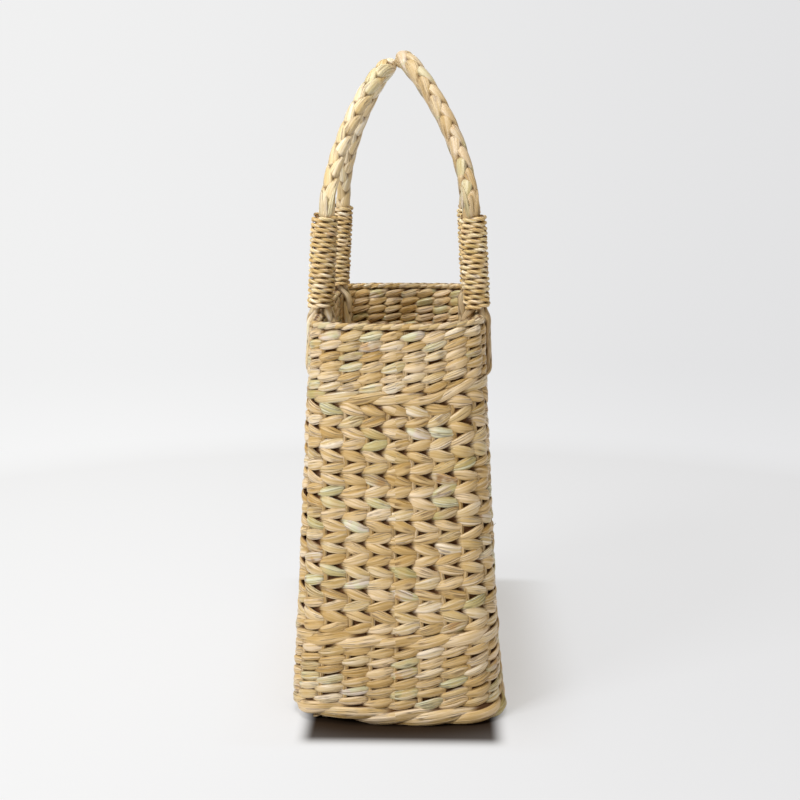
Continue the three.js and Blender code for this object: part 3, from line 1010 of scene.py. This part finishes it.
def leg_point(across, up):
    x = LEG_X + across * math.cos(LEAN) - up * math.sin(LEAN)
    return np.array([x, -LEG_Y, HINGE + across * math.sin(LEAN) + up * math.cos(LEAN)])


def wall_middle(level):
    return wall_place(QUARTER, level, 0.0)[0][0]


def leg_points():
    """The outer limb, the loop through the wall and the inner limb, from the tip of the tail."""
    points = [leg_point(LIMB_OFFSET, up) for up in (TAIL_END, LIMB_MIDDLE, LIMB_FOOT)]
    down = [np.array([wall_middle(z) + LOOP_OFFSET, -LEG_Y, z]) for z in LOOP_LEVELS]
    edge = wall_middle(CROSSING) + LOOP_OFFSET
    for turn in np.linspace(0, math.pi / 2, 7):
        inward = LOOP_BEND * (1 - math.cos(turn))
        above = LOOP_BEND * (1 - math.sin(turn))
        down.append(np.array([edge - inward, -LEG_Y, CROSSING + above]))
    points += down
    for point in down[::-1]:
        points.append(point * (-1, 1, 1) + (2 * wall_middle(point[2]) - INNER_LOOP_OUT, 0, 0))
    for up in (LIMB_FOOT, LIMB_MIDDLE, LASHING_TOP - CHANGE_LENGTH):
        points.append(leg_point(-LIMB_OFFSET, up))
    return points


# %% [markdown]
# Then the plait rises through the lashing, turns its broad side to the front and arches over
# to the other leg on one smooth curve. The line is evened to steps of equal length and
# mirrored for the far leg. The plait swells a little where it folds over the rim and where it
# leaves the lashing, and gets thin at its tips.

# %% Line of a handle
ARCH_HALF = (0.0070, 0.00875)
ARCH_FLATNESS = 0.95
ARCH_INWARD = 0.0030
INWARD_SETTLES = 0.85
INWARD_HALF_TURNS = 0.75
FULLNESS = {"right": 1.10, "left": 1.0}
APEX_RISE = 0.228
APEX_DROPS = {"right": 0.0, "left": 0.0065}
APEX_ASIDE = {"right": -0.0056, "left": 0.0056}
APEX_GAP = 0.0003
FIRST_PULL_UP = 0.069
FIRST_PULL = (0, 0.056, 0)
LAST_PULL = (0.0045, -0.034, 0)
LOOP_HALF = 0.0030
INNER_LOOP_HALF = 0.0052
LOOP_BELOW = 0.004
TIP_HALF = 0.62
TIP_LENGTH = 0.010
KNOB_GROWTH = 0.30
KNOB_LEVEL = 0.001
KNOB_LENGTH = 0.009
ROOT_GROWTH = 0.16
ROOT_SHARE = 0.12
TURN_BELOW = 0.010
TURN_LENGTH = 0.024
SOFT_WINDOW = 4
HANDLE_STEP = 0.0015


def even_steps(points, step):
    lengths = np.concatenate([[0], np.cumsum(np.linalg.norm(np.diff(points, axis=0), axis=1))])
    count = int(round(lengths[-1] / step)) + 1
    run = np.linspace(0, lengths[-1], count)
    return np.stack([np.interp(run, lengths, points[:, axis]) for axis in range(3)], axis=-1)


def softened(points, window):
    """Moving average that keeps the ends."""
    padded = np.pad(points, ((window, window), (0, 0)), "edge")
    kernel = np.ones(2 * window + 1) / (2 * window + 1)
    return np.stack([np.convolve(padded[:, axis], kernel, "valid") for axis in range(3)], axis=-1)


def arch_points(side):
    """Half of the arch on one smooth curve, from the top of the lashing to the crown."""
    middle = ARCH_HALF[0] - LIMB_OFFSET - LIMB_HALF[1]
    shoulder = leg_point(middle, LASHING_TOP + CHANGE_LENGTH)
    up_the_leg = np.array([-math.sin(LEAN), 0, math.cos(LEAN)])
    first_pull = shoulder + FIRST_PULL_UP * up_the_leg + FIRST_PULL
    apex_x = ARCH_HALF[1] + APEX_GAP + APEX_ASIDE[side]
    apex = np.array([apex_x, 0, RIM_TOP + APEX_RISE - APEX_DROPS[side]])
    last_pull = apex + LAST_PULL
    t = np.linspace(0, 1, 80)[:, None]
    curve = (
        (1 - t) ** 3 * shoulder + 3 * (1 - t) ** 2 * t * first_pull
        + 3 * (1 - t) * t**2 * last_pull + t**3 * apex
    )
    return np.concatenate([[leg_point(middle, LASHING_TOP)], curve])


def plait_halves(side, centre, run):
    """Half the width and half the thickness of the plait. run is 0 where the inner limb ends."""
    to_arch = smooth(run / CHANGE_LENGTH)
    along_arch = np.clip(run / run[-1], 0, 1)
    arch_half = between(*ARCH_HALF, along_arch)
    half_wide = between(LIMB_HALF[0], arch_half, to_arch)
    half_thick = between(LIMB_HALF[1], ARCH_FLATNESS * arch_half, to_arch)
    inside = np.arange(len(centre)) > np.argmin(centre[:, 2])
    loop_half = np.where(inside, INNER_LOOP_HALF, LOOP_HALF)
    to_loop = smooth((HINGE - LOOP_BELOW - centre[:, 2]) / CHANGE_LENGTH)
    half_thick = between(half_thick, loop_half, to_loop)
    from_tip = np.arange(len(centre)) * HANDLE_STEP
    tip = TIP_HALF + (1 - TIP_HALF) * smooth(from_tip / TIP_LENGTH)
    tip = tip * between(1, FULLNESS[side], to_arch)
    off_knob = (centre[:, 2] - HINGE - KNOB_LEVEL) / KNOB_LENGTH
    knob = 1 + KNOB_GROWTH * np.exp(-(off_knob**2))
    root = 1 + ROOT_GROWTH * np.exp(-((along_arch / ROOT_SHARE) ** 2))
    return half_wide * tip * root, half_thick * tip * knob


def handle_line(side):
    """Centre line, broad direction and half sizes of a plait, from one tail to the other."""
    leg = leg_points()
    below = len(even_steps(np.array(leg), HANDLE_STEP))
    centre = even_steps(np.concatenate([leg, arch_points(side)]), HANDLE_STEP)
    centre = softened(centre, SOFT_WINDOW)
    centre[-1, 1] = 0
    run = (np.arange(len(centre)) - below) * HANDLE_STEP
    turned = smooth((run + TURN_BELOW) / TURN_LENGTH) * math.pi / 2
    across = np.stack([np.sin(turned), np.cos(turned), 0 * turned], axis=-1)
    halves = plait_halves(side, centre, run)
    along_arch = np.clip(run / run[-1], 0, 1)
    inward_run = np.minimum(along_arch, INWARD_SETTLES) / INWARD_SETTLES
    drawn_in = np.sin(inward_run * math.pi * INWARD_HALF_TURNS)
    centre[:, 0] -= ARCH_INWARD * drawn_in
    mirror = np.array([1, -1, 1])
    centre = np.concatenate([centre, (centre * mirror)[-2::-1]])
    across = np.concatenate([across, (across * mirror)[-2::-1]])
    along = unit(np.gradient(centre, axis=0))
    across = unit(across - (across * along).sum(1, keepdims=True) * along)
    half_wide, half_thick = (np.concatenate([half, half[-2::-1]]) for half in halves)
    return centre, across, np.cross(along, across), half_wide, half_thick


# %% [markdown]
# The real leaf of each plait and lashing bends over the hinge. Here each is one piece, with its
# transform baked into its mesh. Where a plait leaves its lashing, three short leaves are tucked
# under the cord and fan out on its face.

# %% Baked transforms and tucked leaves
SIDES = {"right": 1, "left": -1}
TUCKED_LEAVES = ((-0.20, -0.78, 17), (0.25, 0.80, 13), (0.05, 0.15, 9))
TUCKED_HALF = (0.0007, 0.0023)
TUCKED_UNDER = 4
TUCKED_JITTER = 0.06
TUCKED_DEPTH = 0.92
TUCKED_PROUD = 0.0004
TUCKED_TAPER = 0.8


def hinged(piece):
    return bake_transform(piece)


def tucked_leaves(skein, rng, centre, across, outward, half_wide, half_thick):
    """Short leaves on the outer face of the plait, above both of its lashings.

    TUCKED_LEAVES says where each one starts and ends across the plait, and how many steps
    it is long.
    """
    above = np.flatnonzero(centre[:, 2] > HINGE + LASHING_TOP)
    for first, way in ((above[0], 1), (above[-1], -1)):
        for low, high, count in TUCKED_LEAVES:
            index = first + way * np.arange(-TUCKED_UNDER, count)
            share = np.linspace(0, 1, len(index))
            aside = between(low, high, share) + rng.uniform(-TUCKED_JITTER, TUCKED_JITTER)
            out = TUCKED_DEPTH * np.sqrt(1 - aside**2) * half_thick[index] + TUCKED_PROUD
            path = centre[index] + across[index] * (aside * half_wide[index])[:, None]
            path = path - outward[index] * out[:, None]
            width = TUCKED_HALF[1] * (1 - TUCKED_TAPER * share**3)
            skein.tube(
                path, -outward[index], TUCKED_HALF[0], width, tone=rng.uniform(0.4, 0.9),
                shade=rng.uniform(0.2, 0.9), hollow=0.15 * share,
            )


# %% [markdown]
# In a plait of three each strand swings from edge to edge and passes twice through the middle,
# once over and once under. Its sections are kept within the outline of the plait, which
# flattens them against each other as a hand does.

# %% Plaits
PLAIT_REPEAT = 0.072
STRAND_HALF = (0.64, 0.70)
STRAND_INSET = (0.52, 0.60)
STRANDS_VARY = (0.94, 1.08)
OUTLINE_EDGE = 0.88
OUTLINE_GIVE = 0.3
HOLLOW_EDGE = 0.68
HOLLOW_SPAN = 0.17


def plait(side, seed):
    rng = np.random.default_rng(SEED + seed)
    centre, across, outward, half_wide, half_thick = handle_line(side)
    flip = np.array([SIDES[side], SIDES[side], 1])
    centre, across, outward = centre * flip, across * flip, outward * flip
    skein = Skein()
    run = np.arange(len(centre)) * HANDLE_STEP
    print(f"{side} plait {run[-1]:.2f} m from tip to tip")
    for strand in range(3):
        phase = 2 * math.pi * (run / PLAIT_REPEAT + strand / 3)
        lobes = int(phase[-1] / math.pi) + 2
        wide = STRAND_HALF[0] * half_wide * lobe_values(phase, lobes, rng, *STRANDS_VARY)
        thick = STRAND_HALF[1] * half_thick
        aside = (half_wide - STRAND_INSET[0] * half_wide) * np.sin(phase)
        over = (half_thick - STRAND_INSET[1] * half_thick) * np.sin(2 * phase)
        path = centre + across * aside[:, None] + outward * over[:, None]
        creases = wrinkles(len(path), rng, depth=0.06, count=4)
        rings = tube_rings(path, outward, thick, wide, creases=creases)
        offset = rings - centre[:, None, :]
        off_side = (offset * across[:, None, :]).sum(-1)
        off_face = (offset * outward[:, None, :]).sum(-1)
        spread = (off_side / half_wide[:, None]) ** 2 + (off_face / half_thick[:, None]) ** 2
        spread = np.sqrt(spread)
        pressed = OUTLINE_EDGE + OUTLINE_GIVE * (spread - OUTLINE_EDGE)
        drawn_in = np.where(spread > OUTLINE_EDGE, pressed, spread) / spread - 1
        rings = rings + across[:, None, :] * (off_side * drawn_in)[..., None]
        rings = rings + outward[:, None, :] * (off_face * drawn_in)[..., None]
        # Painted shade where a strand lies deep inside the plait, under its neighbours.
        hollow = 1 - smooth((spread - HOLLOW_EDGE) / HOLLOW_SPAN)
        skein.add(
            path, rings, False, lobe_values(phase, lobes, rng, 0, 1),
            lobe_values(phase, lobes, rng, 0, 1), hollow,
        )
    tucked_leaves(skein, rng, centre, across, outward, half_wide, half_thick)
    piece = hinged(dress(skein.make(f"handle_{side}_plait"), plait_finish[side]))
    solids = [f"handle_plait_{side}"]
    for end in ("near", "far"):
        solids += [f"wall_loop_{side}_{end}", f"leg_tail_{side}_{end}"]
    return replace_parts(piece, *solids)


plait("right", 30)
plait("left", 31)

# %% [markdown]
# The lashing is one cord of two plies, wound eighteen times round both limbs of a leg. The
# plies turn about each other, so that each turn shows short slanted pieces, and no two turns
# are quite alike: the cord wavers a little up and down and in size. Slanted stripes on a
# stack of rings would be quicker, but wouldn't catch the light ply by ply. Shade is painted
# where a ply turns in. A core painted all in the dark shade colour fills the winding, so that
# no light comes through between the turns. Both ends are tucked in.

# %% Lashings
TURNS = 18
TURN_PITCH = 0.0045
FIRST_TURN = 0.0036
TURN_RADII = (0.0102, 0.0098)
PLY_OFFSET = 0.00090
PLY_RADIUS = 0.00142
PLY_LAY = 0.022
PLY_FLATNESS = 1.12
CORD_STEP = 0.0015
TUCKED_IN = 0.16
TUCKED_TURNS = 0.08
CORE_HALF = (0.0079, 0.0083)
CORE_REACH = (0.002, LASHING_TOP - 0.005)
CORD_STARTS = (2.2, 3.4)
SLOW_WAVER = (0.00022, 0.37)
QUICK_WAVER = (0.00016, 2.3)
SIZE_WAVER = (0.018, 0.21)
CROWN_EDGE = 0.70
CROWN_ROUND = 0.5
CROWN_SPAN = 0.9


def lashing(side, end, seed):
    rng = np.random.default_rng(SEED + seed)
    flip = SIDES[side]
    y = (-LEG_Y if end == "near" else LEG_Y) * flip
    step = CORD_STEP / TURN_RADII[0]
    angle = np.arange(0, TURNS * 2 * math.pi, step) + rng.uniform(*CORD_STARTS)
    turn = (angle - angle[0]) / (2 * math.pi)
    slow = SLOW_WAVER[0] * np.sin(angle * SLOW_WAVER[1] + rng.uniform(0, 6))
    quick = QUICK_WAVER[0] * np.sin(angle * QUICK_WAVER[1])
    waver = slow + quick
    tuck = 1 - TUCKED_IN * smooth(1 - turn / TUCKED_TURNS)
    tuck = tuck - TUCKED_IN * smooth(1 - (TURNS - turn) / TUCKED_TURNS)
    size = tuck * (1 + SIZE_WAVER[0] * np.sin(angle * SIZE_WAVER[1] + rng.uniform(0, 6)))
    x = TURN_RADII[0] * size * np.cos(angle)
    up = FIRST_TURN + turn * TURN_PITCH + waver
    path = np.stack(
        [
            flip * LEG_X + x * math.cos(LEAN) - flip * up * math.sin(LEAN),
            y + TURN_RADII[1] * size * np.sin(angle),
            HINGE + flip * x * math.sin(LEAN) + up * math.cos(LEAN),
        ],
        axis=-1,
    )
    outward = np.stack([np.cos(angle), np.sin(angle), 0 * angle], axis=-1)
    beside = unit(np.cross(outward, np.gradient(path, axis=0)))
    beside = beside * np.sign(beside[:, 2:])
    run = np.arange(len(path)) * CORD_STEP
    skein = Skein(THIN_STRAND)
    for ply in range(2):
        twist = -2 * math.pi * run / PLY_LAY + math.pi * ply + rng.uniform(-0.1, 0.1)
        radial = outward * np.cos(twist)[:, None] + beside * np.sin(twist)[:, None]
        facing_out = (radial * outward).sum(1, keepdims=True)
        around = section_angles(THIN_STRAND)[None, :]
        rounded = CROWN_ROUND * np.cos(around) * facing_out
        # Painted shade on each ply where it turns in towards the cord.
        crown = smooth((facing_out + CROWN_EDGE + rounded) / CROWN_SPAN)
        lobes = int(run[-1] / PLY_LAY * 2) + 2
        skein.tube(
            path + radial * PLY_OFFSET, radial, PLY_RADIUS, PLY_RADIUS * PLY_FLATNESS,
            tone=lobe_values(-twist, 2 * lobes, rng, 0, 1),
            shade=lobe_values(-twist, 2 * lobes, rng, 0, 1), hollow=1 - crown,
        )
    up = np.linspace(*CORE_REACH, 6)
    core = np.stack(
        [flip * (LEG_X - up * math.sin(LEAN)), y + 0 * up, HINGE + up * math.cos(LEAN)], axis=-1
    )
    # The core is painted all in the shade colour: a dark sheet of painted shade inside the winding.
    skein.tube(core, np.array([[0.0, 1.0, 0.0]]), *CORE_HALF, tone=0.3, shade=0.3, hollow=1.0)
    piece = dress(skein.make(f"lashing_cord_{side}_{end}"), cord_finish)
    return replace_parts(hinged(piece), f"lashing_{side}_{end}")


LASHINGS = (("right", "near"), ("right", "far"), ("left", "near"), ("left", "far"))
for index, (side, end) in enumerate(LASHINGS):
    lashing(side, end, 40 + index)

# %% [markdown]
# A few thin fibres have sprung loose from the leaves. They are short and lie close to the wall.
# Hair could be grown on it, but some forty thin strands are enough, and stay in the export.

# %% Stray fibres
FIBRES = 44
FIBRE_HALF = 0.00028
FIBRE_FOOT = 0.0048
FIBRE_STAKES = (0.15, 0.6)
FIBRE_LEVELS = (0.02, 0.345)
FIBRE_CLIMB = (-0.004, 0.005)
FIBRE_SPRINGS = (0.0005, 0.0030)
FIBRE_TAPER = 0.7


def stray_fibres():
    skein = Skein(5)
    rng = np.random.default_rng(SEED + 50)
    share = np.linspace(0, 1, 7)
    for _ in range(FIBRES):
        u = rng.uniform(0, STAKES) + rng.choice([-1, 1]) * share * rng.uniform(*FIBRE_STAKES)
        level = rng.uniform(*FIBRE_LEVELS) + share * rng.uniform(*FIBRE_CLIMB)
        out = FIBRE_FOOT + rng.uniform(*FIBRE_SPRINGS) * share**1.5
        path, facing = wall_place(u % STAKES, level, out)
        thin = FIBRE_HALF * (1 - FIBRE_TAPER * share)
        skein.tube(path, facing, thin, thin, rng.uniform(0, 1), rng.uniform(0, 1), 0.0)
    return wall_piece("stray_fibres", skein)


stray_fibres()

# %% [markdown]
# The surroundings are lighter on the left, where the main lamp is. The floor and the world
# both show their colour, so a small node group makes it: it takes a direction, and mixes two
# greys by how far that points to the right.

# %% Colour of the surroundings
STUDIO_EDGES = (-0.34, 0.34)


def part_of(tree, vector, name):
    node = tree.nodes.new("ShaderNodeSeparateXYZ")
    tree.links.new(vector, node.inputs[0])
    return node.outputs[name]


def studio_colour_group():
    group = bpy.data.node_groups.new("studio_colour", "ShaderNodeTree")
    socket(group, "Direction", "INPUT", "NodeSocketVector")
    socket(group, "Left", "INPUT", "NodeSocketColor", tint(241, 241, 241))
    socket(group, "Right", "INPUT", "NodeSocketColor", tint(226, 226, 227))
    socket(group, "Colour", "OUTPUT", "NodeSocketColor")
    given = group.nodes.new("NodeGroupInput").outputs
    result = group.nodes.new("NodeGroupOutput")
    share = step_node(group, part_of(group, given["Direction"], "X"), *STUDIO_EDGES)
    colour = mix_colours(group, share, given["Left"], given["Right"])
    group.links.new(colour, result.inputs["Colour"])
    return group


STUDIO_COLOUR = studio_colour_group()

# %% [markdown]
# The floor is a plain pale sheet. Its paper is mixed with a painted glow of the studio's own
# colour, about half at the foot of the basket and more further out, which stands in for the light
# that paper lit from all sides throws back into the shade. The direction for that colour is made
# from the place to the left or right. Far out only the glow is left, so that no horizon shows.
# Under the basket and just before its near end a dark brown shadow is painted on the sheet,
# which doesn't glow there. It is deeper than soft lamps give.

# %% Floor
FLOOR_REACH = 30.0
PATCH_MIDDLE = (0.0058, 0, 0)
PATCH_SIDES = (0.0942, 0.0759)
PATCH_NEAR = (-0.2510, -0.2245)
PATCH_FAR = (0.215, 0.190)
PATCH_FADES = (0.205, 0.255)
PATCH_FADING = -0.06
PAINTED_SHADOW_COLOUR = tint(46, 34, 23)
PAPER_COLOUR = tint(230, 233, 240)
SHADOW_HALF = (0.100, 0.235, 0)
SHADOW_STRETCH = (1, 3, 0)
SHADOW_FADES = (0, 0.08)
GLOW_AT_FOOT = 0.46
GLOW_GROWTH = 0.36
ONLY_GLOW = (0.4, 1.2)
NEAR_GLOW = 1.065
GLOW_LOSS = -0.065
GLOW_SETTLES = (0.6, 2.2)
NEAR_DISTANCE = 0.8
floor_mesh = bpy.data.meshes.new("floor")
corners = [(-1, -1), (1, -1), (1, 1), (-1, 1)]
floor_points = [(right * FLOOR_REACH, back * FLOOR_REACH, 0) for right, back in corners]
floor_mesh.from_pydata(floor_points, [], [(0, 1, 2, 3)])
floor = placed("floor", floor_mesh)


def floor_material():
    material = bpy.data.materials.new("floor_paper")
    material.use_nodes = True
    tree = material.node_tree
    nodes, links = tree.nodes, tree.links
    shader = nodes["Principled BSDF"]
    shader.inputs["Roughness"].default_value = 0.9
    shader.inputs["Specular IOR Level"].default_value = 0.1
    place = nodes.new("ShaderNodeNewGeometry").outputs["Position"]
    from_middle = vector_node(tree, "LENGTH", place)
    # Painted shadow: a dark brown patch under the basket and just before its near end.
    off_patch = vector_node(tree, "SUBTRACT", place, PATCH_MIDDLE)
    off_patch = vector_node(tree, "ABSOLUTE", off_patch)
    ahead = part_of(tree, place, "Y")
    within = step_node(tree, ahead, *PATCH_NEAR)
    within = math_node(tree, "MULTIPLY", within, step_node(tree, ahead, *PATCH_FAR))
    within_sides = step_node(tree, part_of(tree, off_patch, "X"), *PATCH_SIDES)
    within = math_node(tree, "MULTIPLY", within_sides, within)
    fading = step_node(tree, from_middle, *PATCH_FADES)
    fading = math_node(tree, "MULTIPLY_ADD", fading, PATCH_FADING, 1.0)
    within = math_node(tree, "MULTIPLY", within, fading)
    beyond = math_node(tree, "SUBTRACT", 1.0, within)
    colour = mix_colours(tree, beyond, PAINTED_SHADOW_COLOUR, PAPER_COLOUR)
    links.new(colour, shader.inputs["Base Color"])
    outside = vector_node(tree, "SUBTRACT", off_patch, SHADOW_HALF)
    outside = vector_node(tree, "MAXIMUM", outside, (0, 0, 0))
    outside = vector_node(tree, "MULTIPLY", outside, SHADOW_STRETCH)
    from_foot = vector_node(tree, "LENGTH", outside)
    # A painted glow lightens the real shadow: about half at the foot, more further out, none in the
    # patch.
    growth = step_node(tree, from_foot, *SHADOW_FADES)
    near_share = math_node(tree, "MULTIPLY_ADD", growth, GLOW_GROWTH, GLOW_AT_FOOT)
    near_share = math_node(tree, "MULTIPLY", beyond, near_share)
    far_share = step_node(tree, from_middle, *ONLY_GLOW)
    distance = math_node(tree, "ADD", from_middle, NEAR_DISTANCE)
    nearness = math_node(tree, "DIVIDE", 1.0, distance)
    sideways = vector_node(tree, "MULTIPLY", place, (1, 0, 0))
    sideways = vector_node(tree, "SCALE", sideways, scale=nearness)
    studio = nodes.new("ShaderNodeGroup")
    studio.node_tree = STUDIO_COLOUR
    links.new(sideways, studio.inputs["Direction"])
    glow = nodes.new("ShaderNodeEmission")
    links.new(studio.outputs["Colour"], glow.inputs["Color"])
    # The glow is a little stronger near the basket than far out: a painted pool of light.
    settled = step_node(tree, from_middle, *GLOW_SETTLES)
    strength = math_node(tree, "MULTIPLY_ADD", settled, GLOW_LOSS, NEAR_GLOW)
    links.new(strength, glow.inputs["Strength"])
    mix = nodes.new("ShaderNodeMixShader")
    links.new(math_node(tree, "MAXIMUM", near_share, far_share), mix.inputs[0])
    links.new(shader.outputs[0], mix.inputs[1])
    links.new(glow.outputs[0], mix.inputs[2])
    links.new(mix.outputs[0], nodes["Material Output"].inputs["Surface"])
    return material


floor.data.materials.append(floor_material())
print(f"floor {2 * FLOOR_REACH:.0f} m wide")

# %% [markdown]
# Plain studio light: an even world, a weak lamp overhead, and the main lamp high on the left,
# so that every stitch is bright on top and dark below, and the right side lies in soft shade.
# The world is warm, like light that other leaves have thrown back. The camera sees the
# surroundings instead of it, in their own pale colour.

# %% Light
WORLD_LIGHT = 0.34
WORLD_COLOUR = (1.0, 0.88, 0.67, 1)
world = bpy.data.worlds.new("studio")
bpy.context.scene.world = world
world.use_nodes = True
sky = world.node_tree
background = sky.nodes["Background"]
background.inputs["Color"].default_value = WORLD_COLOUR
background.inputs["Strength"].default_value = WORLD_LIGHT
seen = sky.nodes.new("ShaderNodeBackground")
studio = sky.nodes.new("ShaderNodeGroup")
studio.node_tree = STUDIO_COLOUR
sky.links.new(sky.nodes.new("ShaderNodeTexCoord").outputs["Generated"], studio.inputs["Direction"])
sky.links.new(studio.outputs["Colour"], seen.inputs["Color"])
rays = sky.nodes.new("ShaderNodeLightPath")
choice = sky.nodes.new("ShaderNodeMixShader")
sky.links.new(rays.outputs["Is Camera Ray"], choice.inputs[0])
sky.links.new(background.outputs[0], choice.inputs[1])
sky.links.new(seen.outputs[0], choice.inputs[2])
sky.links.new(choice.outputs[0], sky.nodes["World Output"].inputs["Surface"])


def soft_lamp(name, place, aim, size, power):
    data = bpy.data.lights.new(name, "AREA")
    data.shape = "SQUARE"
    data.size = size
    data.energy = power
    lamp = placed(name, data)
    lamp.location = place
    way = np.array(aim) - np.array(place)
    lamp.rotation_euler = (
        math.atan2(math.hypot(way[0], way[1]), -way[2]),
        0,
        math.atan2(way[1], way[0]) - math.pi / 2,
    )
    print(f"{name}: {power} W, {np.linalg.norm(way):.2f} m from the basket")


soft_lamp("top_lamp", place=(-0.2, -0.3, 2.0), aim=(0, 0, 0.1), size=0.8, power=18)
soft_lamp("key_lamp", place=(-2.5, -2.5, 2.45), aim=(0, 0, 0.2), size=1.35, power=93)
